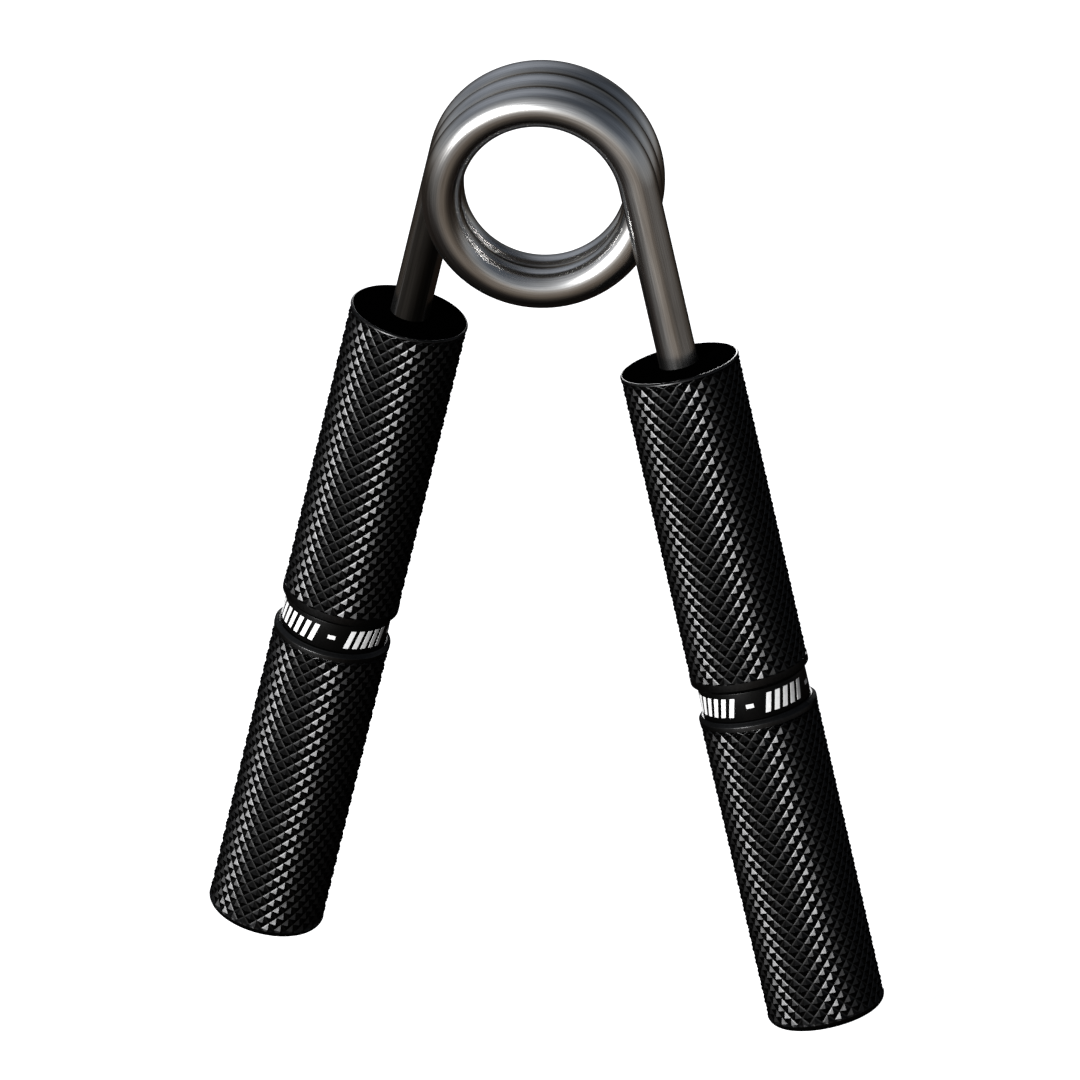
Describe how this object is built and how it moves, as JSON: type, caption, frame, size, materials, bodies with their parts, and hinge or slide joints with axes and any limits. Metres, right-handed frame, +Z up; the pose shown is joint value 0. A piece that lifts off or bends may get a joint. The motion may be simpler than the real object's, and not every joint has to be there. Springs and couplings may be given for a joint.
{
  "type": "hand grip strengthener",
  "caption": "A-shaped hand gripper: a close-wound steel torsion spring whose two straight legs each carry a knurled cylindrical handle with a grooved label band.",
  "frame": {"origin": "middle of the object's footprint, on the surface that the two handle ends stand on", "axes": "+Z up, from the handle ends to the coil; +Y back, along the coil's axis; +X to the right, towards the handle whose leg leaves the front of the coil"},
  "size_m": [0.1166, 0.0544, 0.1611],
  "materials": {
    "spring_steel": "dark polished spring steel",
    "handle_metal": "black anodised, satin, diamond knurled",
    "screw_steel": "black oxide",
    "label_film": "satin black label",
    "label_print": "white print"
  },
  "bodies": {
    "left_side": {"spring_coil": "spring_steel", "spring_leg_left": "spring_steel", "handle_left": "handle_metal", "set_screw_left": "screw_steel", "label_band_left": "label_film", "band_marks_left": "label_print"},
    "right_side": {"spring_leg_right": "spring_steel", "handle_right": "handle_metal", "set_screw_right": "screw_steel", "label_band_right": "label_film", "band_marks_right": "label_print"}
  },
  "joints": [
    {"name": "squeeze", "type": "hinge", "parent": "left_side", "child": "right_side", "pos_m": [0, 0, 0.14131], "axis": [0, 1, 0], "range_deg": [0, 30], "stiffness_Nm_per_rad": 69.6, "deforming": ["spring_coil"]}
  ]
}
